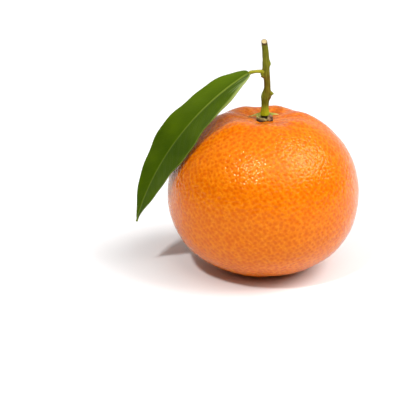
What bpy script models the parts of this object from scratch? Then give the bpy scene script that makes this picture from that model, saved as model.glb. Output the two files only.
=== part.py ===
"""An orange of the mandarin kind with its calyx, a short cut twig and one leaf.

Metres, +Z up. The origin is the middle of the flat spot that the fruit stands on and the
fruit's axis is +Z. The leaf reaches out toward -X and droops past the fruit's shoulder.
"""
import math

import bmesh
import bpy
from mathutils import Vector

MM = 0.001

# The fruit: a flattened body, widest just below its middle, before anything is taken off it
FRUIT_DIAMETER = 66.0 * MM
FRUIT_HEIGHT = 57.8 * MM
GIRTH_SHARE = 0.484
UPPER_FULLNESS = 2.03
LOWER_FULLNESS = 2.255

# What makes it a fruit: the stem's dimple, furrows round it, faint segments, the flat spot
DIMPLE_DEPTH = 3.8 * MM
DIMPLE_RADIUS = 10.0 * MM
DIMPLE_STEEPNESS = 3
FURROW_COUNT = 7
FURROW_DEPTH = 0.26 * MM
FURROW_RADIUS = 13.4 * MM
FURROW_TURN = math.radians(70)
FURROW_UNEVENNESS = 0.25
SEGMENT_COUNT = 10
SEGMENT_BULGE = 0.003
OVAL = 0.006
OVAL_TURN = math.radians(20)
THREE_SIDED = 0.005
THREE_SIDED_TURN = math.radians(-50)
REST_RADIUS = 7.0 * MM

# The calyx: a thick disc that runs out in five sepals, each an angle and a reach
CALYX_RADIUS = 3.0 * MM
CALYX_THICKNESS = 1.0 * MM
SEPALS = (
    (math.radians(3), 5.0 * MM),
    (math.radians(80), 5.0 * MM),
    (math.radians(165), 5.9 * MM),
    (math.radians(241), 4.1 * MM),
    (math.radians(312), 3.8 * MM),
)
SEPAL_HALF_ANGLE = math.radians(26)
SEPAL_POINT = 1.4

# Room between two pieces that touch
GAP = 0.35 * MM

# The twig: place over the seat and diameter at each station, in mm
TWIG_STATIONS = (
    ((0.0, 0.0, 1.7), 3.0),
    ((0.0, 0.0, 2.7), 2.65),
    ((0.0, 0.0, 4.7), 2.3),
    ((0.1, -0.05, 6.5), 2.6),
    ((0.3, -0.1, 7.8), 2.9),
    ((0.45, -0.1, 9.1), 2.75),
    ((0.75, -0.2, 10.8), 2.05),
    ((0.7, -0.2, 13.8), 1.95),
    ((0.2, 0.0, 16.3), 2.5),
    ((0.2, 0.15, 19.0), 2.25),
    ((-0.15, 0.3, 22.9), 2.1),
    ((-0.95, 0.45, 28.8), 1.85),
)
CUT_PLACE = Vector((-0.65, 0.4, 26.6)) * MM
CUT_SLANT = math.radians(31)

# The buds: middle over the seat, half sizes and tilt of each, in mm and degrees
BUDS = (
    ((1.65, -0.1, 8.85), (0.6, 0.6, 1.05), 75),
    ((-0.9, -0.15, 14.75), (0.6, 0.65, 1.0), -160),
    ((1.1, -0.1, 19.3), (0.5, 0.55, 0.95), 8),
)

# The leaf stalk: place over the seat and diameter at each station, in mm
STALK_STATIONS = (
    ((-1.42, -0.35, 16.62), 1.35),
    ((-2.4, -0.55, 16.7), 1.2),
    ((-3.9, -0.85, 16.66), 1.15),
    ((-5.0, -1.1, 16.5), 1.3),
)

# The leaf blade: its midrib is an arc in an upright plane that is turned toward -Y
LEAF_BASE = Vector((-5.45, -1.2, 16.32)) * MM
LEAF_LENGTH = 66.0 * MM
LEAF_WIDTH = 20.5 * MM
LEAF_THICKNESS = 0.6 * MM
LEAF_HEADING = math.radians(6)
DROOP_AT_BASE = math.radians(31.6)
DROOP_AT_TIP = math.radians(74.3)
ROLL_AT_BASE = math.radians(13.5)
ROLL_AT_TIP = math.radians(32.5)
FOLD = math.radians(4)
WIDEST_AT = 0.48
BASE_BLUNTNESS = 0.45
TIP_SHARPNESS = 1.1
END_HALF_WIDTH = 0.3 * MM
MARGIN_WAVE = 0.3 * MM
MARGIN_WAVES = 3
MARGIN_TEETH = 0.16 * MM
MARGIN_TOOTH_COUNT = 7
MARGIN_TOOTH_TURN = 1.2

# How finely the pieces are divided
FRUIT_FACES_ROUND = 64
FRUIT_FACES_UP = 36
CALYX_FACES_ROUND = 50
CALYX_FACES_UP = 8
LEAF_FACES_LONG = 40
LEAF_FACES_WIDE = 6
TUBE_STEPS = 3
TUBE_ROUNDNESS = 4

HALF_DIAMETER = FRUIT_DIAMETER / 2
UPPER_HEIGHT = (1 - GIRTH_SHARE) * FRUIT_HEIGHT
LOWER_HEIGHT = GIRTH_SHARE * FRUIT_HEIGHT


def quarter_height(radius, height, fullness):
    """Height of a superellipse quarter over a radius."""
    return height * max(0.0, 1 - (radius / HALF_DIAMETER) ** fullness) ** (1 / fullness)


REST_SINK = LOWER_HEIGHT - quarter_height(REST_RADIUS, LOWER_HEIGHT, LOWER_FULLNESS)
GIRTH_HEIGHT = LOWER_HEIGHT - REST_SINK
SEAT = Vector((0, 0, GIRTH_HEIGHT + UPPER_HEIGHT - DIMPLE_DEPTH))


def clear_scene():
    for thing in list(bpy.data.objects):
        bpy.data.objects.remove(thing)


def make_collection(name):
    collection = bpy.data.collections.new(name)
    bpy.context.scene.collection.children.link(collection)
    return collection


def move_to(thing, collection):
    for old in list(thing.users_collection):
        old.objects.unlink(thing)
    collection.objects.link(thing)


def make_material(name, colour, roughness):
    material = bpy.data.materials.new(name)
    material.use_nodes = True
    shader = material.node_tree.nodes["Principled BSDF"]
    shader.inputs["Base Color"].default_value = (*colour, 1)
    shader.inputs["Roughness"].default_value = roughness
    shader.inputs["Metallic"].default_value = 0
    return material


def finish_piece(piece, name, collection, material, parent):
    """Name a piece, give it its material and hang it under its parent where it stands."""
    piece.name = name
    piece.data.name = name
    piece.data.materials.clear()
    piece.data.materials.append(material)
    piece.data.shade_smooth()
    piece.data.set_sharp_from_angle(angle=math.radians(50))
    move_to(piece, collection)
    piece.parent = parent


def relief_at_stem(radius, azimuth):
    """How far the top stands over the plain body: the dimple, and the furrows that run into it."""
    dimple = -DIMPLE_DEPTH * math.exp(-((radius / DIMPLE_RADIUS) ** DIMPLE_STEEPNESS))
    reach = (radius / FURROW_RADIUS) ** 2
    depth = FURROW_DEPTH * (1 + FURROW_UNEVENNESS * math.sin(azimuth))
    ripple = math.cos(FURROW_COUNT * (azimuth - FURROW_TURN))
    return dimple + depth * reach * math.exp(1 - reach) * ripple


def rind_height(radius, azimuth):
    """Height of the fruit's upper side over a radius and an azimuth."""
    upper = quarter_height(radius, UPPER_HEIGHT, UPPER_FULLNESS)
    return GIRTH_HEIGHT + upper + relief_at_stem(radius, azimuth)


def out_of_round(azimuth):
    """The fruit's girth as a share of a circle: slightly oval, three-sided and segmented."""
    oval = OVAL * math.cos(2 * (azimuth - OVAL_TURN))
    three_sided = THREE_SIDED * math.cos(3 * (azimuth - THREE_SIDED_TURN))
    segments = SEGMENT_BULGE * math.cos(SEGMENT_COUNT * azimuth)
    return 1 + oval + three_sided + segments


def rind_point(azimuth, latitude):
    """A point of the rind in the direction of an azimuth and a latitude, both in radians."""
    across = math.cos(latitude)
    up = math.sin(latitude)
    fullness = UPPER_FULLNESS if up > 0 else LOWER_FULLNESS
    scale = (abs(across) ** fullness + abs(up) ** fullness) ** (-1 / fullness)
    radius = HALF_DIAMETER * across * scale
    if up > 0:
        height = GIRTH_HEIGHT + UPPER_HEIGHT * up * scale + relief_at_stem(radius, azimuth)
    else:
        height = max(0.0, GIRTH_HEIGHT + LOWER_HEIGHT * up * scale)
    radius *= 1 + (out_of_round(azimuth) - 1) * across ** 2
    return Vector((radius * math.cos(azimuth), radius * math.sin(azimuth), height))


def make_fruit():
    bpy.ops.mesh.primitive_uv_sphere_add(
        segments=FRUIT_FACES_ROUND, ring_count=FRUIT_FACES_UP, radius=1
    )
    fruit = bpy.context.object
    for vertex in fruit.data.vertices:
        x, y, z = vertex.co
        latitude = math.asin(max(-1.0, min(1.0, z)))
        vertex.co = rind_point(math.atan2(y, x), latitude)
    return fruit


def calyx_reach(azimuth):
    """How far the calyx reaches: the disc, and a point for each sepal."""
    reach = CALYX_RADIUS
    for turn, length in SEPALS:
        away = abs(math.remainder(azimuth - turn, math.tau))
        rise = max(0.0, 1 - away / SEPAL_HALF_ANGLE) ** SEPAL_POINT
        reach += (length - CALYX_RADIUS) * rise
    return reach


def make_calyx():
    """A lens that is stretched out to the sepals' outline and laid on the dimple."""
    bpy.ops.mesh.primitive_uv_sphere_add(
        segments=CALYX_FACES_ROUND, ring_count=CALYX_FACES_UP, radius=1, location=SEAT
    )
    calyx = bpy.context.object
    for vertex in calyx.data.vertices:
        x, y, z = vertex.co
        azimuth = math.atan2(y, x)
        radius = math.hypot(x, y) * calyx_reach(azimuth)
        bottom = rind_height(radius, azimuth) - SEAT.z + GAP
        height = bottom + CALYX_THICKNESS * (1 + z) / 2
        vertex.co = (radius * math.cos(azimuth), radius * math.sin(azimuth), height)
    return calyx


def make_tube(name, stations, location):
    """A tube through stations of place and diameter, as a welded closed mesh."""
    curve = bpy.data.curves.new(name, "CURVE")
    curve.dimensions = "3D"
    curve.bevel_depth = 0.5 * MM
    curve.bevel_resolution = TUBE_ROUNDNESS
    curve.use_fill_caps = True
    curve.resolution_u = TUBE_STEPS
    spline = curve.splines.new("BEZIER")
    spline.radius_interpolation = "EASE"
    spline.bezier_points.add(len(stations) - 1)
    for point, (place, diameter) in zip(spline.bezier_points, stations):
        point.co = Vector(place) * MM
        point.radius = diameter
        point.handle_left_type = "AUTO"
        point.handle_right_type = "AUTO"
    line = bpy.data.objects.new(name + "_line", curve)
    line.location = location
    bpy.context.scene.collection.objects.link(line)
    bpy.context.view_layer.update()
    evaluated = line.evaluated_get(bpy.context.evaluated_depsgraph_get())
    mesh = bpy.data.meshes.new_from_object(evaluated)
    shape = bmesh.new()
    shape.from_mesh(mesh)
    bmesh.ops.remove_doubles(shape, verts=shape.verts, dist=0.001 * MM)
    bmesh.ops.recalc_face_normals(shape, faces=shape.faces)
    shape.to_mesh(mesh)
    shape.free()
    tube = bpy.data.objects.new(name, mesh)
    tube.matrix_world = line.matrix_world
    bpy.context.scene.collection.objects.link(tube)
    bpy.data.objects.remove(line)
    bpy.data.curves.remove(curve)
    return tube


def cut_slanting(tube, place, slant):
    """Cut a tube off at a plane that leans toward -Y, and close the cut."""
    shape = bmesh.new()
    shape.from_mesh(tube.data)
    normal = Vector((0, -math.sin(slant), math.cos(slant)))
    cut = bmesh.ops.bisect_plane(
        shape,
        geom=shape.verts[:] + shape.edges[:] + shape.faces[:],
        plane_co=place,
        plane_no=normal,
        clear_outer=True,
    )
    rim = [part for part in cut["geom_cut"] if isinstance(part, bmesh.types.BMEdge)]
    bmesh.ops.holes_fill(shape, edges=rim)
    bmesh.ops.recalc_face_normals(shape, faces=shape.faces)
    shape.to_mesh(tube.data)
    shape.free()


def make_bud(number, middle, half_size, tilt):
    bpy.ops.mesh.primitive_uv_sphere_add(
        segments=12,
        ring_count=8,
        radius=1,
        location=SEAT + Vector(middle) * MM,
        rotation=(0, math.radians(tilt), 0),
        scale=Vector(half_size) * MM,
    )
    bud = bpy.context.object
    bud.name = f"bud_{number}"
    return bud


def make_twig():
    """The stem with its nodes, cut slanting at the top, and the buds fused to it."""
    twig = make_tube("twig", TWIG_STATIONS, SEAT)
    cut_slanting(twig, CUT_PLACE, CUT_SLANT)
    buds = make_collection("buds")
    for number, (middle, half_size, tilt) in enumerate(BUDS, 1):
        move_to(make_bud(number, middle, half_size, tilt), buds)
    join = twig.modifiers.new("join buds", "BOOLEAN")
    join.operation = "UNION"
    join.operand_type = "COLLECTION"
    join.collection = buds
    join.solver = "EXACT"
    bpy.context.view_layer.update()
    evaluated = twig.evaluated_get(bpy.context.evaluated_depsgraph_get())
    plain = twig.data
    twig.data = bpy.data.meshes.new_from_object(evaluated)
    twig.modifiers.clear()
    bpy.data.meshes.remove(plain)
    for bud in list(buds.objects):
        bpy.data.objects.remove(bud)
    bpy.data.collections.remove(buds)
    return twig


def leaf_half_width(along):
    """Half the blade's width: it fills out fast from the base and runs out in a point."""
    turn = math.pi * along ** (math.log(0.5) / math.log(WIDEST_AT))
    power = BASE_BLUNTNESS if along < WIDEST_AT else TIP_SHARPNESS
    return max(END_HALF_WIDTH, LEAF_WIDTH / 2 * max(0.0, math.sin(turn)) ** power)


def blade_point(along, across):
    """A point of the blade from 0 to 1 along it and from -1 to 1 across it, +1 toward -Y."""
    out = Vector((-math.cos(LEAF_HEADING), -math.sin(LEAF_HEADING), 0))
    side = Vector((math.sin(LEAF_HEADING), -math.cos(LEAF_HEADING), 0))
    droop = DROOP_AT_BASE + (DROOP_AT_TIP - DROOP_AT_BASE) * along
    arc_radius = LEAF_LENGTH / (DROOP_AT_TIP - DROOP_AT_BASE)
    reached = arc_radius * (math.sin(droop) - math.sin(DROOP_AT_BASE))
    dropped = arc_radius * (math.cos(DROOP_AT_BASE) - math.cos(droop))
    upward = out * math.sin(droop) + Vector((0, 0, math.cos(droop)))
    roll = ROLL_AT_BASE + (ROLL_AT_TIP - ROLL_AT_BASE) * along
    edge = abs(across)
    if across > 0:
        outward = side * math.cos(roll - FOLD) - upward * math.sin(roll - FOLD)
    else:
        outward = upward * math.sin(roll + FOLD) - side * math.cos(roll + FOLD)
    half_width = leaf_half_width(along)
    teeth = MARGIN_TEETH * edge * math.sin(math.tau * MARGIN_TOOTH_COUNT * along + MARGIN_TOOTH_TURN)
    share = min(1.0, half_width / (LEAF_WIDTH / 4))  # both fade out toward the ends
    wave = math.sin(math.tau * (MARGIN_WAVES * along + across / 4))
    return (
        out * reached
        - Vector((0, 0, dropped))
        + outward * (half_width * edge + teeth * share)
        + upward * MARGIN_WAVE * wave * edge ** 2 * share
    )


def make_leaf_blade():
    """One leaf from a flat grid: bent, split into triangles, then given its thickness."""
    bpy.ops.mesh.primitive_grid_add(
        x_subdivisions=LEAF_FACES_LONG,
        y_subdivisions=LEAF_FACES_WIDE,
        size=2,
        location=SEAT + LEAF_BASE,
    )
    blade = bpy.context.object
    for vertex in blade.data.vertices:
        x, y, _ = vertex.co
        vertex.co = blade_point((x + 1) / 2, -y)
    shape = bmesh.new()
    shape.from_mesh(blade.data)
    bmesh.ops.triangulate(shape, faces=shape.faces)
    shape.to_mesh(blade.data)
    shape.free()
    wall = blade.modifiers.new("thickness", "SOLIDIFY")
    wall.thickness = LEAF_THICKNESS
    wall.offset = 0
    return blade


def build():
    clear_scene()
    collection = make_collection("orange")
    stand = bpy.data.objects.new("orange_stand", None)
    collection.objects.link(stand)

    rind = make_material("rind", (0.90, 0.25, 0.012), 0.38)
    dry_green = make_material("calyx", (0.13, 0.12, 0.035), 0.7)
    bark = make_material("bark", (0.16, 0.15, 0.02), 0.6)
    stalk_green = make_material("stalk", (0.38, 0.39, 0.05), 0.5)
    leaf_green = make_material("leaf", (0.07, 0.13, 0.01), 0.4)

    finish_piece(make_fruit(), "fruit", collection, rind, stand)
    finish_piece(make_calyx(), "calyx", collection, dry_green, stand)
    finish_piece(make_twig(), "twig", collection, bark, stand)
    stalk = make_tube("leaf_stalk", STALK_STATIONS, SEAT)
    finish_piece(stalk, "leaf_stalk", collection, stalk_green, stand)
    finish_piece(make_leaf_blade(), "leaf_blade", collection, leaf_green, stand)


build()
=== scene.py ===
import math

import bpy
import numpy as np
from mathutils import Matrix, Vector, kdtree, noise


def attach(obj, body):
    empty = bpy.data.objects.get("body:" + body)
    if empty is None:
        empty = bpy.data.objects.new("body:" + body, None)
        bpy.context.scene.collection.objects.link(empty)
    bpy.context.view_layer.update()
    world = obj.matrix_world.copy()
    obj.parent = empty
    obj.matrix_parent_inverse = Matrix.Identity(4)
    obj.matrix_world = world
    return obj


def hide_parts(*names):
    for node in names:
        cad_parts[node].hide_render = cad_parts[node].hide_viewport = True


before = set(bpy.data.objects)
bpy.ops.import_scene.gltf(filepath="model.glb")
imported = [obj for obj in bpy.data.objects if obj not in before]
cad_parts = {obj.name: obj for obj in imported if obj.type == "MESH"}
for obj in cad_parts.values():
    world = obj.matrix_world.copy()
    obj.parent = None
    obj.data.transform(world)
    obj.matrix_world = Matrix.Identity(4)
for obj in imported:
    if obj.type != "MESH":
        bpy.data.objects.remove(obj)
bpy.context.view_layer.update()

bpy.ops.object.select_all(action="DESELECT")

MM = 0.001
TURN = math.tau

# The fruit's form, the same driving dimensions as its solid
FRUIT_DIAMETER = 66.0 * MM
FRUIT_HEIGHT = 57.8 * MM
GIRTH_SHARE = 0.484
UPPER_FULLNESS = 2.03
LOWER_FULLNESS = 2.255
DIMPLE_DEPTH = 3.8 * MM
DIMPLE_RADIUS = 10.0 * MM
DIMPLE_STEEPNESS = 3
FURROW_COUNT = 7
FURROW_DEPTH = 0.26 * MM
FURROW_RADIUS = 13.4 * MM
FURROW_TURN = math.radians(70)
FURROW_UNEVENNESS = 0.25
SEGMENT_COUNT = 10
SEGMENT_BULGE = 0.003
OVAL = 0.006
OVAL_TURN = math.radians(20)
THREE_SIDED = 0.005
THREE_SIDED_TURN = math.radians(-50)
REST_RADIUS = 7.0 * MM

# The rind's surface: oil glands, swells, creases round the stem, and the flower's scar
SKIN_HALVINGS = 7
GLAND_COUNT = 4600
GLAND_JITTER = 0.24
GLAND_RADIUS = 0.66 * MM
GLAND_DEPTH = 0.06 * MM
GLAND_SIZES = (0.72, 1.25)
GLAND_REACH = 2.6
GLAND_SEED = 11
SWELL_HEIGHT = 0.16 * MM
SWELL_SIZE = 9.0 * MM
RIPPLE_HEIGHT = 0.05 * MM
RIPPLE_SIZE = 3.0 * MM
CALM_BY_STEM = (4.0 * MM, 9.0 * MM)
CALM_SHARE = 0.75
GLAND_FADING = 0.6
WRINKLE_HEIGHT = 0.065 * MM
WRINKLE_PITCH = 7.0
WRINKLE_LENGTH = 9.0 * MM
WRINKLE_CONTRAST = 1.6
WRINKLE_START = (1.5 * MM, 4.0 * MM)        # radii between which the creases appear
WRINKLE_END = (7.35 * MM, 21.0 * MM)        # radii between which they fade away
SCAR_RADIUS = 1.3 * MM
SCAR_DEPTH = 0.5 * MM

# Sepals, three open and two in front that are rolled up: turn, reach and half angle
SEPALS = (
    (math.radians(3), 4.9 * MM, math.radians(24)),
    (math.radians(80), 5.0 * MM, math.radians(26)),
    (math.radians(165), 5.9 * MM, math.radians(24)),
    (math.radians(243), 4.5 * MM, math.radians(62)),
    (math.radians(312), 3.9 * MM, math.radians(30)),
)

# The calyx: a disc with its sepals, a core round the twig, and in front a roll and a knob
CALYX_RADIUS = 2.7 * MM
CALYX_SIDES = 288
CALYX_RINGS = 90
SEPAL_POINT = 1.25
SEPAL_THICKNESS = 0.32 * MM
SEPAL_LIFT = (2.2 * MM, 3.0 * MM)
CALYX_SUNK = 0.1 * MM
CORE_HEIGHT = 1.85 * MM
CORE_EDGE = (1.0 * MM, 1.3 * MM)
OPEN_TOP = 2.35 * MM
OPEN_TOP_RADIUS = 1.5 * MM
OPEN_SLOPE = 0.33
OPEN_SLOPE_LEAN = 0.13
NOTCH_DEPTH = 0.22 * MM
CRINKLE_SIZE = 0.55 * MM
FINE_CRINKLE_SIZE = 0.22 * MM
FINE_CRINKLE_SHARE = 0.6
OPEN_CRINKLE = 0.05 * MM
DRIED_TURN = math.radians(268)
DRIED_EDGE = (math.radians(50), math.radians(78))
DRIED_HEIGHT = 0.55 * MM
DRIED_CRINKLE = 0.12 * MM
ROLL_TURN = math.radians(243)
ROLL_EDGE = (math.radians(36), math.radians(56))
ROLL_RADIUS = 3.35 * MM
ROLL_WIDTH = 0.5 * MM
ROLL_HEIGHT = 0.8 * MM
KNOB_TURN = math.radians(312)
KNOB_HALF_ANGLE = math.radians(24)
KNOB_RADIUS = 2.6 * MM
KNOB_WIDTH = 0.65 * MM
KNOB_HEIGHT = 1.5 * MM
# Heights over the rind below which the dried part gets painted shade
HOLLOW_EDGE = (0.65 * MM, 1.0 * MM)

# The twig and the leaf stalk: place over the seat and diameter at each station, in mm
TWIG_STATIONS = (
    ((0.0, 0.0, 1.55), 3.1),
    ((0.0, 0.0, 1.8), 3.05),
    ((0.0, 0.0, 2.7), 2.7),
    ((0.0, 0.0, 4.7), 2.35),
    ((0.1, -0.05, 6.5), 2.6),
    ((0.3, -0.1, 7.8), 2.9),
    ((0.45, -0.1, 9.1), 2.75),
    ((0.62, -0.2, 10.8), 2.15),
    ((0.5, -0.2, 13.6), 2.1),
    ((0.12, 0.0, 16.2), 2.4),
    ((0.05, 0.15, 19.0), 2.25),
    ((-0.15, 0.3, 22.9), 2.1),
    ((-0.65, 0.4, 26.6), 1.9),
)
CUT_SLANT = math.radians(31)
CUT_START = 0.86
WOOD_EDGE = (0.7, 0.95)
TWIG_SWELL = 0.06
BARK_RIDGES = 11
BARK_RIDGE_SHARE = 0.022
BARK_KNOTS_SHARE = 0.05
BARK_GRAIN_SHARE = 0.03
BARK_KNOT_LENGTH = 2.2 * MM

# Bumps on the twig: turn, level over the seat, width, length, rise, and whether it is a scar
TWIG_BUMPS = (
    (math.radians(-8), 9.0 * MM, 0.55 * MM, 0.62 * MM, 1.0 * MM, False),
    (math.radians(-20), 7.6 * MM, 0.9 * MM, 0.45 * MM, 0.22 * MM, True),
    (math.radians(190), 8.3 * MM, 0.8 * MM, 1.1 * MM, 0.2 * MM, False),
    (math.radians(195), 15.7 * MM, 0.55 * MM, 0.5 * MM, 0.75 * MM, False),
    (math.radians(208), 14.85 * MM, 0.5 * MM, 0.34 * MM, 0.95 * MM, True),
    (math.radians(0), 19.2 * MM, 0.4 * MM, 0.8 * MM, 0.5 * MM, False),
)
STALK_STATIONS = (
    ((-0.7, -0.2, 16.5), 1.9),
    ((-1.42, -0.35, 16.62), 1.4),
    ((-2.4, -0.55, 16.7), 1.2),
    ((-3.9, -0.85, 16.66), 1.15),
    ((-5.0, -1.1, 16.5), 1.35),
    ((-5.7, -1.25, 16.25), 0.9),
)
STALK_GROOVE = 0.16
STALK_GROOVE_ANGLE = 0.4
STALK_NOTCH = 0.14
STALK_NOTCH_AT = 0.8
STALK_NOTCH_LENGTH = 0.025

# The leaf blade
LEAF_BASE = Vector((-5.45, -1.2, 16.32)) * MM
LEAF_LENGTH = 66.0 * MM
LEAF_WIDTH = 20.5 * MM
LEAF_HEADING = math.radians(6)
DROOP_AT_BASE = math.radians(31.6)
DROOP_AT_TIP = math.radians(74.3)
ROLL_AT_BASE = math.radians(13.5)
ROLL_AT_TIP = math.radians(32.5)
FOLD = math.radians(4)
WIDEST_AT = 0.48
BASE_BLUNTNESS = 0.45
TIP_SHARPNESS = 1.1
END_HALF_WIDTH = 0.3 * MM
MARGIN_WAVE = 0.3 * MM
MARGIN_WAVES = 3
MARGIN_TEETH = 0.16 * MM
MARGIN_TOOTH_COUNT = 7
MARGIN_TOOTH_TURN = 1.2
BLADE_THICKNESS = 0.34 * MM
BLADE_STEPS_LONG = 200
BLADE_STEPS_WIDE = 56
BLADE_CROWDING = 1.15
VEIN_SPACING = 4.6 * MM
VEIN_LEAN = 0.75
VEIN_CURVE = 20
VEIN_RELIEF = 0.02 * MM
MIDRIB_WIDTH = 0.5 * MM
MIDRIB_GROOVE = 0.16 * MM
MIDRIB_KEEL = 0.45 * MM
KEEL_FADING = 0.75

# Colours of the finishes, as linear red, green and blue
RIND_ORANGE = (0.62, 0.136, 0.0003)
RIND_LIGHT_ORANGE = (0.67, 0.154, 0.0005)
# Pale flecking: partly random mottling, partly painted sheen on the rind between the glands
RIND_FLECK_AND_SHEEN = (0.75, 0.225, 0.008)
RIND_GLAND = (0.56, 0.083, 0.0003)
# Painted shade: darker red in the fine creases round the stem
RIND_CREASE_SHADE = (0.5, 0.07, 0.004)
# Painted sheen: pale lines on the fine ridges round the stem
RIND_RIDGE_SHEEN = (0.76, 0.23, 0.05)
RIND_GLOSS_TINT = (1.0, 0.88, 0.46)
STYLE_SCAR = (0.16, 0.085, 0.03)
SEPAL_GREEN = (0.17, 0.17, 0.015)
SEPAL_LIGHT_GREEN = (0.3, 0.29, 0.05)
SEPAL_TIP = (0.48, 0.42, 0.1)
ROLL_OLIVE = (0.13, 0.085, 0.02)
ROLL_TAN = (0.36, 0.3, 0.1)
# Painted shade, dark brown, at the foot of the rolled sepal
ROLL_FOOT_SHADE = (0.07, 0.032, 0.01)
KNOB_BROWN = (0.06, 0.022, 0.01)
KNOB_TAN = (0.26, 0.14, 0.08)
# Painted shade, near black, in the crevice of the calyx and under its sepals
HOLLOW_PAINTED_SHADE = (0.02, 0.009, 0.003)
BARK_GREEN = (0.085, 0.09, 0.003)
BARK_LIGHT_GREEN = (0.15, 0.145, 0.008)
BARK_FOOT = (0.29, 0.3, 0.003)
BARK_BROWN = (0.085, 0.045, 0.001)
BARK_LIGHT_BROWN = (0.15, 0.09, 0.003)
BARK_BY_CUT = (0.06, 0.035, 0.01)
BUD_GREEN = (0.2, 0.24, 0.012)
BUD_SCAR = (0.14, 0.06, 0.014)
WOOD_TAN = (0.42, 0.31, 0.14)
WOOD_LIGHT_TAN = (0.54, 0.43, 0.22)
STALK_GREEN = (0.22, 0.22, 0.008)
STALK_LIGHT_GREEN = (0.32, 0.29, 0.016)
LEAF_DARK_GREEN = (0.031, 0.06, 0.0002)
LEAF_GREEN = (0.052, 0.09, 0.0003)
# Paler green toward the stalk: partly newer tissue, partly painted light and sheen, strongest on
# the far half
LEAF_YOUNG_AND_LIT_GREEN = (0.092, 0.15, 0.004)
# Painted shade: darker green beside the midrib
LEAF_SHADE_BESIDE_RIB = (0.03, 0.062, 0.0001)
LEAF_VEIN = (0.06, 0.1, 0.004)
LEAF_RIB = (0.17, 0.22, 0.03)
# Painted highlight: pale streaks on the near half by the stalk
LEAF_PAINTED_GLINT = (0.38, 0.46, 0.22)
# Pale margin: partly its own colour, partly painted light on the lit edge
LEAF_MARGIN = (0.17, 0.21, 0.02)
# Painted light: the wider, paler margin on the near half by the stalk
LEAF_LIT_MARGIN_AT_BASE = (0.42, 0.48, 0.14)
LEAF_GLOSS_TINT = (0.85, 1.0, 0.25)
LOWER_GREEN = (0.075, 0.115, 0.02)
LOWER_LIGHT_GREEN = (0.1, 0.14, 0.03)
LOWER_VEIN = (0.14, 0.18, 0.05)
LOWER_RIB = (0.2, 0.24, 0.06)
FLOOR_WHITE = (0.8, 0.8, 0.8)

# Surfaces of the finishes: roughness, gloss, fine bumps, and how light scatters in the rind
RIND_ROUGHNESS = 0.16
RIND_GLOSS = 0.27
RIND_BUMP = 0.058 * MM
RIND_SCATTER = 0.1
RIND_SCATTER_DEPTH = 1.0 * MM
RIND_SCATTER_COLOUR = (1.0, 0.3, 0.05)
CALYX_ROUGHNESS = 0.7
CALYX_GLOSS = 0.2
CALYX_BUMP = 0.06 * MM
BARK_ROUGHNESS = 0.6
BARK_GLOSS = 0.12
BARK_BUMP = 0.05 * MM
STALK_ROUGHNESS = 0.5
STALK_GLOSS = 0.15
STALK_BUMP = 0.03 * MM
LEAF_ROUGHNESS = 0.36
LEAF_ROUGHNESS_BELOW = 0.6
LEAF_GLOSS = 0.07
LEAF_BUMP = 0.035 * MM
FLOOR_ROUGHNESS = 0.8
FLOOR_GLOSS = 0.2

# How fine the pattern of each finish is, in cells to the metre
RIND_PATCHES = 45.0
RIND_FLECKS = 1400.0
RIND_DOMES = 960.0
RIND_PORES = 1300.0
CALYX_PATCHES = 1100.0
BARK_STREAKS = 2600.0
BARK_PATCHES = 330.0
STALK_PATCHES = 900.0
LEAF_PATCHES = 120.0
LEAF_CELLS = 2200.0

# The camera's place, from the fruit's outline in the photograph
LENS = 100.0
SENSOR_WIDTH = 36.0
CAMERA_RISE = math.radians(20)
CAMERA_REACH = 388.0 * MM
CAMERA_TARGET = Vector((-22.0, 0.0, 24.3)) * MM

# The light: the room behind and overhead, and three square lights, each 3 m away
ROOM_BACK = 0.55
ROOM_BACK_SPAN = (-0.1, 0.8)
ROOM_BACK_TOP = (0.65, 0.25)
ROOM_TOP = 0.6
ROOM_TOP_SPAN = (0.3, 1.0)
LIGHT_DISTANCE = 3.0
KEY_FROM = (-0.3, -0.52, 0.8)
KEY_SIZE = 0.25
KEY_POWER = 50.0
SIDE_FROM = (0.66, -0.12, 0.745)
SIDE_SIZE = 1.66
SIDE_POWER = 73.0
WIDE_FROM = (0.35, -0.5, 0.8)
WIDE_SIZE = 2.4
WIDE_POWER = 54.0
FLOOR_SIZE = 4.0

HALF_DIAMETER = FRUIT_DIAMETER / 2
UPPER_HEIGHT = (1 - GIRTH_SHARE) * FRUIT_HEIGHT
LOWER_HEIGHT = GIRTH_SHARE * FRUIT_HEIGHT
REST_SHARE = (1 - (REST_RADIUS / HALF_DIAMETER) ** LOWER_FULLNESS) ** (1 / LOWER_FULLNESS)
GIRTH_HEIGHT = LOWER_HEIGHT * REST_SHARE
SEAT = Vector((0, 0, GIRTH_HEIGHT + UPPER_HEIGHT - DIMPLE_DEPTH))


# Mesh helpers

def vertex_places(mesh):
    places = np.empty(len(mesh.vertices) * 3)
    mesh.vertices.foreach_get("co", places)
    return places.reshape(-1, 3)


def place_vertices(mesh, places):
    mesh.vertices.foreach_set("co", np.ascontiguousarray(places).ravel())
    mesh.update()


def vertex_normals(mesh):
    normals = np.empty(len(mesh.vertices) * 3)
    mesh.vertex_normals.foreach_get("vector", normals)
    return normals.reshape(-1, 3)


def keep_values(mesh, name, values):
    """Store one number for each vertex, for a material to read."""
    layer = mesh.attributes.new(name, "FLOAT", "POINT")
    layer.data.foreach_set("value", np.ascontiguousarray(values))


def noise_over(places, size, offset=0.0):
    """Smooth noise from -1 to 1 over places, with swells of a given size."""
    shift = Vector((offset, offset, offset))
    return np.array([noise.noise(Vector(place) / size + shift) for place in places])


def smooth_step(low, high, value):
    """0 up to low and 1 from high on, with a smooth rise between them."""
    share = np.clip((value - low) / (high - low), 0, 1)
    return share * share * (3 - 2 * share)


def hump(value, middle, width, steepness=2):
    """1 at the middle, falling off smoothly to both sides."""
    return np.exp(-(((value - middle) / width) ** steepness))


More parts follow.
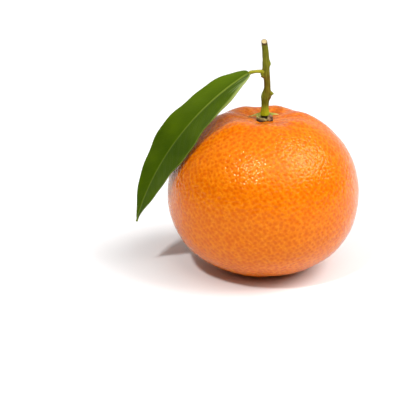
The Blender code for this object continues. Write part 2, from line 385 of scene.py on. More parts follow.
def finish_piece(piece, name, material, node):
    """Name a piece, give it its material, shade it smooth, hang it under the root body, and hide
    the model's part that it stands for.
    """
    piece.name = name
    piece.data.name = name
    piece.data.materials.clear()
    piece.data.materials.append(material)
    bpy.ops.object.select_all(action="DESELECT")
    piece.select_set(True)
    bpy.context.view_layer.objects.active = piece
    bpy.ops.object.shade_smooth_by_angle(angle=math.radians(50))
    piece.select_set(False)
    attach(piece, "root")
    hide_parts(node)


# The fruit

def relief_at_stem(radius, azimuth):
    """How far the top stands over the plain body: the dimple, and the furrows that run into it."""
    dimple = -DIMPLE_DEPTH * np.exp(-((radius / DIMPLE_RADIUS) ** DIMPLE_STEEPNESS))
    reach = (radius / FURROW_RADIUS) ** 2
    depth = FURROW_DEPTH * (1 + FURROW_UNEVENNESS * np.sin(azimuth))
    ripple = np.cos(FURROW_COUNT * (azimuth - FURROW_TURN))
    return dimple + depth * reach * np.exp(1 - reach) * ripple


def rind_height(radius, azimuth):
    """Height of the fruit's upper side over a radius and an azimuth."""
    share = np.clip(1 - (radius / HALF_DIAMETER) ** UPPER_FULLNESS, 0, None)
    upper = UPPER_HEIGHT * share ** (1 / UPPER_FULLNESS)
    return GIRTH_HEIGHT + upper + relief_at_stem(radius, azimuth)


def rind_places(directions):
    """Places on the plain rind in the given directions from the middle of the girth."""
    x, y, up = directions.T
    azimuth = np.arctan2(y, x)
    across = np.hypot(x, y)
    fullness = np.where(up > 0, UPPER_FULLNESS, LOWER_FULLNESS)
    scale = (across ** fullness + np.abs(up) ** fullness) ** (-1 / fullness)
    radius = HALF_DIAMETER * across * scale
    upper = GIRTH_HEIGHT + UPPER_HEIGHT * up * scale + relief_at_stem(radius, azimuth)
    lower = np.maximum(0, GIRTH_HEIGHT + LOWER_HEIGHT * up * scale)
    oval = OVAL * np.cos(2 * (azimuth - OVAL_TURN))
    three_sided = THREE_SIDED * np.cos(3 * (azimuth - THREE_SIDED_TURN))
    segments = SEGMENT_BULGE * np.cos(SEGMENT_COUNT * azimuth)
    radius *= 1 + (oval + three_sided + segments) * across ** 2
    height = np.where(up > 0, upper, lower)
    return np.column_stack((radius * np.cos(azimuth), radius * np.sin(azimuth), height))


def gland_directions(draw):
    """Directions spread evenly over a ball along a golden spiral, each then nudged."""
    index = np.arange(GLAND_COUNT) + 0.5
    up = 1 - 2 * index / GLAND_COUNT
    azimuth = index * TURN * (math.sqrt(5) - 1) / 2
    across = np.sqrt(1 - up ** 2)
    directions = np.column_stack((across * np.cos(azimuth), across * np.sin(azimuth), up))
    spacing = math.sqrt(2 * TURN / GLAND_COUNT)
    directions += draw.normal(0, GLAND_JITTER * spacing / math.sqrt(2), directions.shape)
    return directions / np.linalg.norm(directions, axis=1)[:, None]


def gland_pattern(places):
    """Depth of the pits, and how much each place belongs to one, over the skin's vertices."""
    draw = np.random.default_rng(GLAND_SEED)
    centres = rind_places(gland_directions(draw))
    sizes = draw.uniform(*GLAND_SIZES, GLAND_COUNT)
    tree = kdtree.KDTree(len(places))
    for index, place in enumerate(places):
        tree.insert(place, index)
    tree.balance()
    depth = np.zeros(len(places))
    belongs = np.zeros(len(places))
    for centre, size in zip(centres, sizes):
        radius = GLAND_RADIUS * size
        for _, index, distance in tree.find_range(centre, GLAND_REACH * radius):
            share = math.exp(-((distance / radius) ** 2))
            depth[index] = max(depth[index], GLAND_DEPTH * size * share)
            belongs[index] = max(belongs[index], share)
    return depth, belongs


def radial_wrinkles(places, radius):
    """Fine creases below 0 and ridges above it that run out from the stem and fade away."""
    away = places[:, :2] / np.maximum(radius, 0.1 * MM)[:, None] * WRINKLE_PITCH
    creases = noise_over(np.column_stack((away, radius / WRINKLE_LENGTH)), 1.0, offset=3.0)
    fading = 1 - smooth_step(*WRINKLE_END, radius)
    return WRINKLE_CONTRAST * creases * fading * smooth_step(*WRINKLE_START, radius)


def make_skin(material):
    """The rind: a finely divided cube drawn out to the fruit's form, then swelled and pitted."""
    bpy.ops.mesh.primitive_cube_add(size=2)
    skin = bpy.context.object
    bpy.ops.object.mode_set(mode="EDIT")
    bpy.ops.mesh.select_all(action="SELECT")
    for _ in range(SKIN_HALVINGS):
        bpy.ops.mesh.subdivide(number_cuts=1)
    bpy.ops.object.mode_set(mode="OBJECT")
    mesh = skin.data
    even = np.tan(vertex_places(mesh) * math.pi / 4)
    places = rind_places(even / np.linalg.norm(even, axis=1)[:, None])
    place_vertices(mesh, places)
    normals = vertex_normals(mesh)
    depth, belongs = gland_pattern(places)
    radius = np.hypot(places[:, 0], places[:, 1])
    under = places[:, 2] < GIRTH_HEIGHT / 2
    near_stem = np.where(under, 0, 1 - smooth_step(*CALM_BY_STEM, radius))
    swell = SWELL_HEIGHT * noise_over(places, SWELL_SIZE)
    ripple = RIPPLE_HEIGHT * noise_over(places, RIPPLE_SIZE, offset=7.0)
    wrinkle = np.where(under, 0, radial_wrinkles(places, radius))
    relief = (swell + ripple - depth) * (1 - CALM_SHARE * near_stem) + WRINKLE_HEIGHT * wrinkle
    places = places + normals * relief[:, None]
    scar = np.where(under, 1 - smooth_step(0.6 * SCAR_RADIUS, 1.6 * SCAR_RADIUS, radius), 0)
    places[:, 2] = np.maximum(places[:, 2], 0) + SCAR_DEPTH * scar
    place_vertices(mesh, places)
    keep_values(mesh, "gland", belongs * (1 - GLAND_FADING * near_stem))
    keep_values(mesh, "wrinkle", wrinkle)
    keep_values(mesh, "scar", scar)
    finish_piece(skin, "fruit_skin", material, "fruit")


# The calyx

def turn_away(azimuth, turn):
    """The angle between each azimuth and a turn, from 0 to half a turn."""
    return np.abs(np.remainder(azimuth - turn + math.pi, TURN) - math.pi)


def calyx_reach(azimuth):
    """How far the calyx reaches: the disc, and a point for each sepal."""
    reach = np.full_like(azimuth, CALYX_RADIUS)
    for turn, length, half_angle in SEPALS:
        rise = np.clip(1 - turn_away(azimuth, turn) / half_angle, 0, None) ** SEPAL_POINT
        reach += (length - CALYX_RADIUS) * rise
    return reach


def turn_to_sepal(azimuth):
    """0 along the middle of a sepal and 1 halfway between two."""
    nearest = np.min([turn_away(azimuth, turn) for turn, _, _ in SEPALS], axis=0)
    return nearest / (math.pi / len(SEPALS))


def calyx_top(radius, azimuth, dried, knob_here):
    """Height of the upper side over the seat: sloping where open, rolled where dried."""
    slope = OPEN_SLOPE - OPEN_SLOPE_LEAN * np.cos(azimuth)
    notch = NOTCH_DEPTH * smooth_step(0, 1, turn_to_sepal(azimuth))
    open_top = OPEN_TOP - slope * (radius - OPEN_TOP_RADIUS) - notch
    roll_here = 1 - smooth_step(*ROLL_EDGE, turn_away(azimuth, ROLL_TURN))
    roll = ROLL_HEIGHT * roll_here * hump(radius, ROLL_RADIUS, ROLL_WIDTH)
    knob = KNOB_HEIGHT * knob_here * hump(radius, KNOB_RADIUS, KNOB_WIDTH, 4)
    return open_top + (DRIED_HEIGHT + roll + knob - open_top) * dried


def make_calyx(material):
    """Dry sepals round the twig's foot: open and lifted behind and beside it, rolled in front."""
    bpy.ops.mesh.primitive_uv_sphere_add(segments=CALYX_SIDES, ring_count=CALYX_RINGS, radius=1)
    calyx = bpy.context.object
    mesh = calyx.data
    x, y, side = vertex_places(mesh).T
    azimuth = np.arctan2(y, x)
    share = np.clip(np.hypot(x, y), 0, 1)
    radius = share * calyx_reach(azimuth)
    around = np.column_stack((radius * np.cos(azimuth), radius * np.sin(azimuth)))
    dried = 1 - smooth_step(*DRIED_EDGE, turn_away(azimuth, DRIED_TURN))
    knob_here = hump(turn_away(azimuth, KNOB_TURN), 0, KNOB_HALF_ANGLE, 4)
    ground = rind_height(radius, azimuth) - SEAT.z - CALYX_SUNK
    flat = np.column_stack((around, 0 * radius))
    crinkle = noise_over(flat, CRINKLE_SIZE)
    crinkle += FINE_CRINKLE_SHARE * noise_over(flat, FINE_CRINKLE_SIZE, offset=5.0)
    crinkle *= OPEN_CRINKLE + (DRIED_CRINKLE - OPEN_CRINKLE) * dried
    top = calyx_top(radius, azimuth, dried, knob_here) + crinkle
    top = np.maximum(top, CORE_HEIGHT * (1 - smooth_step(*CORE_EDGE, radius)))
    lift = smooth_step(*SEPAL_LIFT, radius) * (1 - dried)
    bottom = ground + lift * np.maximum(0, top - SEPAL_THICKNESS - ground)
    rim = np.abs(side) < 1e-6
    round_edge = np.sqrt(np.clip(1 - share ** 8, 0, 1))
    middle = (top + bottom) / 2 - 0.25 * (top - bottom) * (1 - lift)
    height = middle + np.where(side >= 0, top - middle, bottom - middle) * round_edge
    height = np.where(rim, middle, height)
    place_vertices(mesh, np.column_stack((around, height + SEAT.z)))
    # Painted shade: near black on the low dried parts and on the undersides that lie on the rind
    hollow_shade = (1 - smooth_step(*HOLLOW_EDGE, top - ground)) * dried
    below = (side < 0) & ~rim
    keep_values(mesh, "hollow_shade", np.maximum(hollow_shade, below * (1 - lift)))
    keep_values(mesh, "dried", dried)
    keep_values(mesh, "raised", (top - ground) / MM)
    keep_values(mesh, "knob", knob_here * dried)
    keep_values(mesh, "reach", radius / MM)
    finish_piece(calyx, "calyx_star", material, "calyx")


# The twig and the stalk

def path_through(stations, shares):
    """Places and radii along a smooth path through stations, at shares of its length."""
    places = np.array([place for place, _ in stations]) * MM
    radii = np.array([width for _, width in stations]) * MM / 2
    knots = np.concatenate(([0], np.cumsum(np.linalg.norm(np.diff(places, axis=0), axis=1))))
    values = np.column_stack((places, radii))
    slopes = np.gradient(values, knots, axis=0)
    at = np.asarray(shares) * knots[-1]
    left = np.clip(np.searchsorted(knots, at, side="right") - 1, 0, len(knots) - 2)
    span = knots[left + 1] - knots[left]
    t = ((at - knots[left]) / span)[:, None]
    span = span[:, None]
    path = (
        values[left] * (2 * t ** 3 - 3 * t ** 2 + 1)
        + slopes[left] * span * (t ** 3 - 2 * t ** 2 + t)
        + values[left + 1] * (3 * t ** 2 - 2 * t ** 3)
        + slopes[left + 1] * span * (t ** 3 - t ** 2)
    )
    return path[:, :3], path[:, 3]


def make_rod(sides, cuts, rings_on_caps):
    """A unit cylinder along Z from 0 to 1, divided along its length and ringed on its caps."""
    bpy.ops.mesh.primitive_cylinder_add(
        vertices=sides, radius=1, depth=1, location=(0, 0, 0.5), end_fill_type="NGON"
    )
    rod = bpy.context.object
    bpy.ops.object.transform_apply(location=True, rotation=False, scale=False)
    bpy.ops.object.mode_set(mode="EDIT")
    bpy.ops.mesh.select_mode(type="EDGE")
    bpy.ops.mesh.select_all(action="DESELECT")
    bpy.ops.object.mode_set(mode="OBJECT")
    for edge in rod.data.edges:
        low, high = (rod.data.vertices[index].co.z for index in edge.vertices)
        edge.select = abs(low - high) > 0.5
    bpy.ops.object.mode_set(mode="EDIT")
    bpy.ops.mesh.subdivide(number_cuts=cuts)
    bpy.ops.mesh.select_mode(type="FACE")
    bpy.ops.mesh.select_all(action="DESELECT")
    bpy.ops.object.mode_set(mode="OBJECT")
    for face in rod.data.polygons:
        face.select = abs(face.normal.z) > 0.5
    bpy.ops.object.mode_set(mode="EDIT")
    for _ in range(rings_on_caps):
        bpy.ops.mesh.inset(thickness=1 / (rings_on_caps + 1), use_individual=True)
    bpy.ops.object.mode_set(mode="OBJECT")
    return rod


def bump_at(azimuth, height, radii, turn, level, width, length):
    """How much each place on the twig belongs to a bump at a turn and a level, from 0 to 1."""
    away = np.remainder(azimuth - turn + math.pi, TURN) - math.pi
    return np.exp(-((away * radii / width) ** 2) - ((height - level) / length) ** 2)


def bark_relief(azimuth, height, share):
    """Long ridges, knots and grain of the bark, as shares of the twig's radius."""
    rough = np.column_stack((np.cos(azimuth), np.sin(azimuth), height / BARK_KNOT_LENGTH))
    ridges = BARK_RIDGE_SHARE * np.cos(BARK_RIDGES * azimuth + 2.2 * np.sin(5 * share))
    knots = BARK_KNOTS_SHARE * noise_over(rough, 0.6)
    grain = BARK_GRAIN_SHARE * noise_over(rough * (1, 1, 3), 0.4, offset=3.0)
    return ridges + knots + grain


def make_twig(material):
    """The stem with its nodes, buds and ridged bark, cut slanting at the top."""
    twig = make_rod(sides=96, cuts=100, rings_on_caps=6)
    mesh = twig.data
    x, y, share = vertex_places(mesh).T
    centres, radii = path_through(TWIG_STATIONS, share)
    azimuth = np.arctan2(y, x)
    out = np.hypot(x, y)
    height = centres[:, 2]
    radius = radii * (1 + TWIG_SWELL + bark_relief(azimuth, height, share) * out)
    bud = np.zeros(len(radius))
    scar = np.zeros(len(radius))
    for turn, level, width, length, rise, is_scar in TWIG_BUMPS:
        belongs = bump_at(azimuth, height, radii, turn, level, width, length)
        radius += rise * belongs ** (1.0 if is_scar else 0.8) * out
        if is_scar:
            scar = np.maximum(scar, belongs)
        else:
            bud = np.maximum(bud, belongs)
    radius *= out
    places = centres + np.array(SEAT)
    places[:, 0] += radius * np.cos(azimuth)
    places[:, 1] += radius * np.sin(azimuth)
    slant = smooth_step(CUT_START, 1.0, share) * math.tan(CUT_SLANT)
    places[:, 2] += slant * radius * np.sin(azimuth)
    place_vertices(mesh, places)
    on_cut = share > 0.9999
    keep_values(mesh, "height", share)
    keep_values(mesh, "cut", on_cut * (1 - smooth_step(*WOOD_EDGE, out)))
    keep_values(mesh, "bud", bud)
    keep_values(mesh, "scar", scar)
    finish_piece(twig, "twig_bark", material, "twig")


def make_stalk(material):
    """The leaf's stalk, grooved along its upper side and swollen where it meets the blade."""
    stalk = make_rod(sides=40, cuts=60, rings_on_caps=3)
    mesh = stalk.data
    x, y, share = vertex_places(mesh).T
    centres, radii = path_through(STALK_STATIONS, share)
    ahead, _ = path_through(STALK_STATIONS, np.clip(share + 0.01, 0, 1))
    behind, _ = path_through(STALK_STATIONS, np.clip(share - 0.01, 0, 1))
    forward = ahead - behind
    forward /= np.linalg.norm(forward, axis=1)[:, None]
    side = np.cross(forward, (0, 0, 1))
    side /= np.linalg.norm(side, axis=1)[:, None]
    up = np.cross(side, forward)
    azimuth = np.arctan2(y, x)
    out = np.hypot(x, y)
    groove = STALK_GROOVE * hump(azimuth, math.pi / 2, STALK_GROOVE_ANGLE)
    notch = STALK_NOTCH * hump(share, STALK_NOTCH_AT, STALK_NOTCH_LENGTH)
    radius = radii * out * (1 - groove * out - notch)
    sideways = side * (radius * np.cos(azimuth))[:, None]
    upward = up * (radius * np.sin(azimuth))[:, None]
    place_vertices(mesh, centres + sideways + upward + np.array(SEAT))
    finish_piece(stalk, "leaf_stalk_rod", material, "leaf_stalk")


# The leaf blade

def blade_half_width(along):
    """Half the blade's width: blunt at the base and drawn out to a point at the tip."""
    turn = math.pi * along ** (math.log(0.5) / math.log(WIDEST_AT))
    power = np.where(along < WIDEST_AT, BASE_BLUNTNESS, TIP_SHARPNESS)
    return np.maximum(END_HALF_WIDTH, LEAF_WIDTH / 2 * np.clip(np.sin(turn), 0, None) ** power)


def vein_wave(along, distance):
    """A wave from -1 to 1 that peaks on the side veins, which lean toward the tip."""
    start = along * LEAF_LENGTH - VEIN_LEAN * distance - VEIN_CURVE * distance ** 2
    return np.cos(TURN * start / VEIN_SPACING)


def blade_lift(along, across, half_width):
    """How far the surface stands over the plain blade: waved margin, quilted veins, midrib."""
    edge = np.abs(across)
    distance = half_width * edge
    wave = MARGIN_WAVE * np.sin(TURN * (MARGIN_WAVES * along + across / 4)) * edge ** 2
    between = smooth_step(0, 0.15, edge) * (1 - edge ** 4)
    quilt = -VEIN_RELIEF * vein_wave(along, distance) * between
    groove = -MIDRIB_GROOVE * hump(distance, 0, MIDRIB_WIDTH)
    return (wave + quilt) * np.minimum(1, half_width / (LEAF_WIDTH / 4)) + groove


def blade_places(along, across):
    """Places of the blade from 0 to 1 along it and from -1 to 1 across it, +1 toward -Y."""
    out = np.array((-math.cos(LEAF_HEADING), -math.sin(LEAF_HEADING), 0))
    side = np.array((math.sin(LEAF_HEADING), -math.cos(LEAF_HEADING), 0))
    droop = DROOP_AT_BASE + (DROOP_AT_TIP - DROOP_AT_BASE) * along
    arc_radius = LEAF_LENGTH / (DROOP_AT_TIP - DROOP_AT_BASE)
    reached = arc_radius * (np.sin(droop) - math.sin(DROOP_AT_BASE))
    dropped = arc_radius * (math.cos(DROOP_AT_BASE) - np.cos(droop))
    upward = np.outer(np.sin(droop), out) + np.outer(np.cos(droop), (0, 0, 1))
    roll = ROLL_AT_BASE + (ROLL_AT_TIP - ROLL_AT_BASE) * along
    edge = np.abs(across)
    tilt = np.where(across > 0, roll - FOLD, roll + FOLD)
    flip = np.where(across > 0, 1, -1)
    outward = np.outer(flip * np.cos(tilt), side) - upward * (flip * np.sin(tilt))[:, None]
    half_width = blade_half_width(along)
    teeth = MARGIN_TEETH * edge * np.sin(TURN * MARGIN_TOOTH_COUNT * along + MARGIN_TOOTH_TURN)
    teeth *= np.minimum(1, half_width / (LEAF_WIDTH / 4))
    return (
        np.outer(reached, out)
        - np.outer(dropped, (0, 0, 1))
        + outward * (half_width * edge + teeth)[:, None]
        + upward * blade_lift(along, across, half_width)[:, None]
        + np.array(SEAT + LEAF_BASE)
    )


def make_blade(material):
    """The leaf: a flat grid bent to its form, given its thickness and a keel underneath."""
    bpy.ops.mesh.primitive_grid_add(
        x_subdivisions=BLADE_STEPS_LONG, y_subdivisions=BLADE_STEPS_WIDE, size=2
    )
    blade = bpy.context.object
    mesh = blade.data
    x, y, _ = vertex_places(mesh).T
    along = (x + 1) / 2
    across = np.sign(-y) * np.abs(y) ** BLADE_CROWDING
    place_vertices(mesh, blade_places(along, across))
    half_width = blade_half_width(along)
    keep_values(mesh, "along", along * LEAF_LENGTH / MM)
    keep_values(mesh, "across", across * half_width / MM)
    keep_values(mesh, "edge", np.abs(across))
    wall = blade.modifiers.new("thickness", "SOLIDIFY")
    wall.thickness = BLADE_THICKNESS
    wall.offset = 0
    bpy.context.view_layer.objects.active = blade
    bpy.ops.object.modifier_apply(modifier=wall.name)
    mesh = blade.data
    places = vertex_places(mesh)
    normals = vertex_normals(mesh)
    under = normals[:, 2] <= 0
    keel = MIDRIB_KEEL * hump(np.abs(across) * half_width, 0, MIDRIB_WIDTH)
    keel *= 1 - KEEL_FADING * along
    place_vertices(mesh, places + normals * (np.tile(keel, 2) * under)[:, None])
    keep_values(mesh, "under", under.astype(float))
    finish_piece(blade, "leaf_blade_sheet", material, "leaf_blade")


# Material helpers

def node(tree, kind, sockets, **settings):
    """A shader node with its settings, and its sockets given a value or another node's output."""
    made = tree.nodes.new(kind)
    for name, value in settings.items():
        setattr(made, name, value)
    for name, value in sockets.items():
        if isinstance(value, bpy.types.NodeSocket):
            tree.links.new(value, made.inputs[name])
        else:
            made.inputs[name].default_value = value
    return made


def colour_mix(tree, share, first, second):
    """The first colour where the share is 0 and the second where it is 1."""
    mix = node(tree, "ShaderNodeMix", {0: share}, data_type="RGBA")
    for index, value in ((6, first), (7, second)):
        if isinstance(value, bpy.types.NodeSocket):
            tree.links.new(value, mix.inputs[index])
        else:
            mix.inputs[index].default_value = (*value, 1)
    return mix.outputs[2]


def stretch(tree, value, low, high, to_low=0.0, to_high=1.0):
    """A value that runs from low to high, stretched to run from to_low to to_high."""
    sockets = {0: value, 1: low, 2: high, 3: to_low, 4: to_high}
    return node(tree, "ShaderNodeMapRange", sockets).outputs[0]


def noise_share(tree, coordinates, scale, low=0.35, high=0.65, detail=2.0):
    """Noise over the object, stretched so that it runs from 0 at low to 1 at high."""
    texture = node(
        tree, "ShaderNodeTexNoise", {"Vector": coordinates, "Scale": scale, "Detail": detail}
    )
    return stretch(tree, texture.outputs["Fac"], low, high)


def calculate(tree, operation, first, second=0.0):
    """The result of one step of arithmetic in a material."""
    return node(tree, "ShaderNodeMath", {0: first, 1: second}, operation=operation).outputs[0]


def times(tree, first, second):
    return calculate(tree, "MULTIPLY", first, second)


def vertex_value(tree, name):
    """What keep_values stored under a name."""
    return node(tree, "ShaderNodeAttribute", {}, attribute_name=name).outputs["Fac"]


def start_material(name, roughness, gloss):
    """A material with its nodes and its shader, and the place of each point on the object."""
    material = bpy.data.materials.new(name)
    material.use_nodes = True
    tree = material.node_tree
    shader = tree.nodes["Principled BSDF"]
    shader.inputs["Roughness"].default_value = roughness
    shader.inputs["Specular IOR Level"].default_value = gloss
    coordinates = node(tree, "ShaderNodeTexCoord", {}).outputs["Object"]
    return material, tree, shader, coordinates


def add_bump(tree, shader, height, distance):
    """Fine relief for a shader: as high as the distance where the height is 1."""
    bump = node(tree, "ShaderNodeBump", {"Height": height, "Distance": distance})
    tree.links.new(bump.outputs["Normal"], shader.inputs["Normal"])


# Materials

def rind_colour(tree, coordinates):
    """Flecked orange, deeper over each oil gland; the pale flecking is partly random mottling and
    partly painted sheen, and round the stem the creases get painted shade and the ridges painted
    sheen.
    """
    patches = noise_share(tree, coordinates, RIND_PATCHES)
    colour = colour_mix(tree, patches, RIND_ORANGE, RIND_LIGHT_ORANGE)
    # Pale flecking, partly random mottling and partly painted sheen
    flecks_and_sheen = noise_share(tree, coordinates, RIND_FLECKS, 0.45, 0.62)
    colour = colour_mix(tree, times(tree, flecks_and_sheen, 0.55), colour, RIND_FLECK_AND_SHEEN)
    glands = times(tree, stretch(tree, vertex_value(tree, "gland"), 0.18, 0.85), 0.8)
    colour = colour_mix(tree, glands, colour, RIND_GLAND)
    wrinkle = vertex_value(tree, "wrinkle")
    # Painted shade in the creases round the stem
    creases = stretch(tree, wrinkle, 0.0, -0.8, 0.0, 0.6)
    colour = colour_mix(tree, creases, colour, RIND_CREASE_SHADE)
    # Painted sheen on the ridges round the stem
    ridges = stretch(tree, wrinkle, 0.15, 0.9, 0.0, 0.4)
    colour = colour_mix(tree, ridges, colour, RIND_RIDGE_SHEEN)
    return colour_mix(tree, vertex_value(tree, "scar"), colour, STYLE_SCAR)


def rind_material():
    """Waxy rind, with small domes and pores that break up the highlights."""
    material, tree, shader, coordinates = start_material("rind", RIND_ROUGHNESS, RIND_GLOSS)
    tree.links.new(rind_colour(tree, coordinates), shader.inputs["Base Color"])
    shader.inputs["Specular Tint"].default_value = (*RIND_GLOSS_TINT, 1)
    shader.inputs["Subsurface Weight"].default_value = RIND_SCATTER
    shader.inputs["Subsurface Radius"].default_value = RIND_SCATTER_COLOUR
    shader.inputs["Subsurface Scale"].default_value = RIND_SCATTER_DEPTH
    cells = node(tree, "ShaderNodeTexVoronoi", {"Vector": coordinates, "Scale": RIND_DOMES})
    away = calculate(tree, "DIVIDE", cells.outputs["Distance"], 0.6)
    domes = calculate(tree, "SUBTRACT", 1.0, times(tree, away, away))
    pores = noise_share(tree, coordinates, RIND_PORES, 0.3, 0.7, detail=3.0)
    relief = calculate(tree, "ADD", domes, times(tree, pores, 0.14))
    add_bump(tree, shader, relief, RIND_BUMP)
    return material


def calyx_material():
    """Dry sepals: pale yellow-green points, a tan and olive roll in front with painted shade at
    its foot, and near-black painted shade in the crevice and under the sepals.
    """
    material, tree, shader, coordinates = start_material("calyx", CALYX_ROUGHNESS, CALYX_GLOSS)
    patches = noise_share(tree, coordinates, CALYX_PATCHES, detail=4.0)
    green = colour_mix(tree, patches, SEPAL_GREEN, SEPAL_LIGHT_GREEN)
    tips = stretch(tree, vertex_value(tree, "reach"), 2.6, 4.4)
    green = colour_mix(tree, tips, green, SEPAL_TIP)
    olive = colour_mix(tree, patches, ROLL_OLIVE, ROLL_TAN)
    # Painted shade: darker where the roll sinks toward the crevice
    foot = stretch(tree, vertex_value(tree, "raised"), 1.5, 0.9)
    rolled = colour_mix(tree, foot, olive, ROLL_FOOT_SHADE)
    colour = colour_mix(tree, vertex_value(tree, "dried"), green, rolled)
    knob = colour_mix(tree, patches, KNOB_BROWN, KNOB_TAN)
    colour = colour_mix(tree, vertex_value(tree, "knob"), colour, knob)
    # Painted shade in the crevice and under the sepals
    colour = colour_mix(tree, vertex_value(tree, "hollow_shade"), colour, HOLLOW_PAINTED_SHADE)
    tree.links.new(colour, shader.inputs["Base Color"])
    add_bump(tree, shader, patches, CALYX_BUMP)
    return material


def bark_material():
    """Young bark: green at the foot, browner in the middle, streaked along; a pale cut."""
    material, tree, shader, coordinates = start_material("bark", BARK_ROUGHNESS, BARK_GLOSS)
    mapping = node(tree, "ShaderNodeMapping", {"Vector": coordinates, "Scale": (1, 1, 0.16)})
    streaks = noise_share(tree, mapping.outputs["Vector"], BARK_STREAKS, detail=3.0)
    patches = noise_share(tree, coordinates, BARK_PATCHES, 0.42, 0.6)
    height = vertex_value(tree, "height")
    green = colour_mix(tree, streaks, BARK_GREEN, BARK_LIGHT_GREEN)
    green = colour_mix(tree, stretch(tree, height, 0.16, 0.04), green, BARK_FOOT)
    brown = colour_mix(tree, streaks, BARK_BROWN, BARK_LIGHT_BROWN)
    over_foot = stretch(tree, height, 0.22, 0.38)
    under_top = stretch(tree, height, 0.68, 0.5)
    share = times(tree, times(tree, over_foot, under_top), stretch(tree, patches, 0, 1, 0.4, 1.0))
    bark = colour_mix(tree, share, green, brown)
    bark = colour_mix(tree, vertex_value(tree, "bud"), bark, BUD_GREEN)
    bark = colour_mix(tree, vertex_value(tree, "scar"), bark, BUD_SCAR)
    bark = colour_mix(tree, stretch(tree, height, 0.965, 0.985), bark, BARK_BY_CUT)
    wood = colour_mix(tree, streaks, WOOD_TAN, WOOD_LIGHT_TAN)
    colour = colour_mix(tree, vertex_value(tree, "cut"), bark, wood)
    tree.links.new(colour, shader.inputs["Base Color"])
    add_bump(tree, shader, streaks, BARK_BUMP)
    return material


def stalk_material():
    """Green stalk with paler patches."""
    material, tree, shader, coordinates = start_material("stalk", STALK_ROUGHNESS, STALK_GLOSS)
    patches = noise_share(tree, coordinates, STALK_PATCHES)
    colour = colour_mix(tree, patches, STALK_GREEN, STALK_LIGHT_GREEN)
    tree.links.new(colour, shader.inputs["Base Color"])
    add_bump(tree, shader, patches, STALK_BUMP)
    return material


def vein_starts(tree, along, across):
    """For each point, where a vein through it would leave the midrib, in mm along the leaf."""
    curve = times(tree, times(tree, across, across), VEIN_CURVE * MM)
    lean = calculate(tree, "ADD", times(tree, across, VEIN_LEAN), curve)
    return calculate(tree, "SUBTRACT", along, lean)


def upper_green(tree, patches, along, side, veins, midrib):
    """The upper side's green: lighter near the stalk, partly as newer tissue and partly as painted
    light, most on the far half; painted shade beside the pale midrib.
    """
    across = calculate(tree, "ABSOLUTE", side)
    green = colour_mix(tree, patches, LEAF_DARK_GREEN, LEAF_GREEN)
    # Painted light: the far half gets more of the paler green than the near half
    lit_far_half = stretch(tree, side, 1.5, -1.5, 0.45, 1.0)
    young_and_lit = times(tree, stretch(tree, along, 38, 2), lit_far_half)
    green = colour_mix(tree, young_and_lit, green, LEAF_YOUNG_AND_LIT_GREEN)
    # Painted shade beside the midrib
    shade_beside_rib = stretch(tree, across, 5.5, 0.6, 0.0, 0.5)
    green = colour_mix(tree, shade_beside_rib, green, LEAF_SHADE_BESIDE_RIB)
    green = colour_mix(tree, times(tree, veins, 0.22), green, LEAF_VEIN)
    rib = times(tree, midrib, stretch(tree, along, 14, 34, 0.75, 0.42))
    return colour_mix(tree, rib, green, LEAF_RIB)


def add_painted_base_glints(tree, green, along, side):
    """Fine pale streaks on the near half where the blade leaves its stalk: a painted highlight."""
    grain = {0: times(tree, along, 0.07), 1: times(tree, side, 1.9)}
    lengthwise = node(tree, "ShaderNodeCombineXYZ", grain).outputs["Vector"]
    streaks = noise_share(tree, lengthwise, 1.0, 0.5, 0.66)
    near_half = stretch(tree, side, 0.7, 1.3, 0.0, 0.6)
    glints_near_base = times(tree, stretch(tree, along, 10, 5), near_half)
    return colour_mix(tree, times(tree, streaks, glints_near_base), green, LEAF_PAINTED_GLINT)


def add_margin_and_lit_edge(tree, green, along, side):
    """The pale margin, partly the edge's own colour and partly painted light on its lit edge,
    which is wider and paler on the near half toward the stalk.
    """
    toward_base = stretch(tree, along, 20, 6, 0.0, 0.25)
    widening = times(tree, toward_base, stretch(tree, side, -0.1, 0.1))
    start = calculate(tree, "SUBTRACT", 0.965, widening)
    margin = times(tree, stretch(tree, vertex_value(tree, "edge"), start, 1.0), 0.75)
    wide = stretch(tree, widening, 0.0, 0.2)
    pale = colour_mix(tree, wide, LEAF_MARGIN, LEAF_LIT_MARGIN_AT_BASE)
    return colour_mix(tree, margin, green, pale)


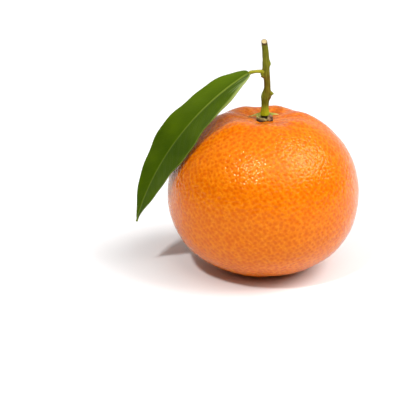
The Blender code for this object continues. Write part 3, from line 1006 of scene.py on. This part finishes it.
def leaf_material():
    """Leathery leaf: dark and glossy above with a pale midrib and fine veins, duller below."""
    material, tree, shader, coordinates = start_material("leaf", LEAF_ROUGHNESS, LEAF_GLOSS)
    along = vertex_value(tree, "along")
    side = vertex_value(tree, "across")
    across = calculate(tree, "ABSOLUTE", side)
    starts = vein_starts(tree, along, across)
    phase = calculate(tree, "DIVIDE", starts, VEIN_SPACING / MM)
    wave = calculate(tree, "COSINE", times(tree, phase, TURN))
    veins = stretch(tree, wave, 0.95, 1.0)
    rib_width = stretch(tree, along, 0, 30, 0.85, 0.42)
    midrib = stretch(tree, calculate(tree, "DIVIDE", across, rib_width), 1.0, 0.5)
    patches = noise_share(tree, coordinates, LEAF_PATCHES, detail=3.0)
    above = upper_green(tree, patches, along, side, veins, midrib)
    # Painted highlight: pale streaks near the stalk
    above = add_painted_base_glints(tree, above, along, side)
    # Pale margin, partly painted light on the lit edge
    above = add_margin_and_lit_edge(tree, above, along, side)
    below = colour_mix(tree, patches, LOWER_GREEN, LOWER_LIGHT_GREEN)
    below = colour_mix(tree, times(tree, veins, 0.5), below, LOWER_VEIN)
    below = colour_mix(tree, midrib, below, LOWER_RIB)
    under = vertex_value(tree, "under")
    colour = colour_mix(tree, under, above, below)
    tree.links.new(colour, shader.inputs["Base Color"])
    shader.inputs["Specular Tint"].default_value = (*LEAF_GLOSS_TINT, 1)
    roughness = stretch(tree, under, 0, 1, LEAF_ROUGHNESS, LEAF_ROUGHNESS_BELOW)
    tree.links.new(roughness, shader.inputs["Roughness"])
    cells = noise_share(tree, coordinates, LEAF_CELLS, 0.3, 0.7)
    combed = node(tree, "ShaderNodeCombineXYZ", {0: starts, 1: times(tree, side, 0.12)})
    threads = noise_share(tree, combed.outputs["Vector"], 2.4, 0.3, 0.7, detail=3.0)
    relief = calculate(tree, "ADD", times(tree, cells, 0.3), threads)
    add_bump(tree, shader, relief, LEAF_BUMP)
    return material


def floor_material():
    """Plain matt white."""
    material, _, shader, _ = start_material("floor", FLOOR_ROUGHNESS, FLOOR_GLOSS)
    shader.inputs["Base Color"].default_value = (*FLOOR_WHITE, 1)
    return material


# Stage, light and camera

def make_floor():
    """A plain pale floor, which is no part of the fruit."""
    bpy.ops.mesh.primitive_plane_add(size=FLOOR_SIZE)
    floor = bpy.context.object
    floor.name = "floor"
    floor.data.materials.append(floor_material())


def make_light(name, direction, size, power):
    """A square light that looks at the fruit from a direction."""
    light = bpy.data.lights.new(name, "AREA")
    light.shape = "SQUARE"
    light.size = size
    light.energy = power
    lamp = bpy.data.objects.new(name, light)
    aim = Vector(direction).normalized()
    lamp.location = Vector((0, 0, GIRTH_HEIGHT)) + aim * LIGHT_DISTANCE
    lamp.rotation_euler = aim.to_track_quat("Z", "Y").to_euler()
    bpy.context.scene.collection.objects.link(lamp)


def make_room():
    """A dim studio: dark in front, with light low behind the fruit and overhead."""
    room = bpy.data.worlds.new("studio")
    room.use_nodes = True
    tree = room.node_tree
    background = tree.nodes["Background"]
    direction = node(tree, "ShaderNodeTexCoord", {}).outputs["Generated"]
    parts = node(tree, "ShaderNodeSeparateXYZ", {0: direction})
    back = stretch(tree, parts.outputs["Y"], *ROOM_BACK_SPAN, 0.0, ROOM_BACK)
    low = stretch(tree, parts.outputs["Z"], *ROOM_BACK_TOP)
    overhead = stretch(tree, parts.outputs["Z"], *ROOM_TOP_SPAN, 0.0, ROOM_TOP)
    strength = calculate(tree, "ADD", times(tree, back, low), overhead)
    tree.links.new(strength, background.inputs["Strength"])
    background.inputs["Color"].default_value = (1, 1, 1, 1)
    bpy.context.scene.world = room


def make_lights():
    make_room()
    make_light("key", KEY_FROM, KEY_SIZE, KEY_POWER)
    make_light("side", SIDE_FROM, SIDE_SIZE, SIDE_POWER)
    make_light("wide", WIDE_FROM, WIDE_SIZE, WIDE_POWER)


def make_camera():
    """A long lens that looks a little down at the fruit, its twig and its leaf."""
    data = bpy.data.cameras.new("camera")
    data.lens = LENS
    data.sensor_width = SENSOR_WIDTH
    data.clip_start = 0.01
    camera = bpy.data.objects.new("camera", data)
    back = Vector((0, -math.cos(CAMERA_RISE), math.sin(CAMERA_RISE)))
    camera.location = CAMERA_TARGET + back * CAMERA_REACH
    camera.rotation_euler = back.to_track_quat("Z", "Y").to_euler()
    bpy.context.scene.collection.objects.link(camera)
    bpy.context.scene.camera = camera


make_camera()
make_lights()
make_floor()
make_skin(rind_material())
make_calyx(calyx_material())
make_twig(bark_material())
make_stalk(stalk_material())
make_blade(leaf_material())

bpy.context.scene.view_settings.view_transform = "Standard"
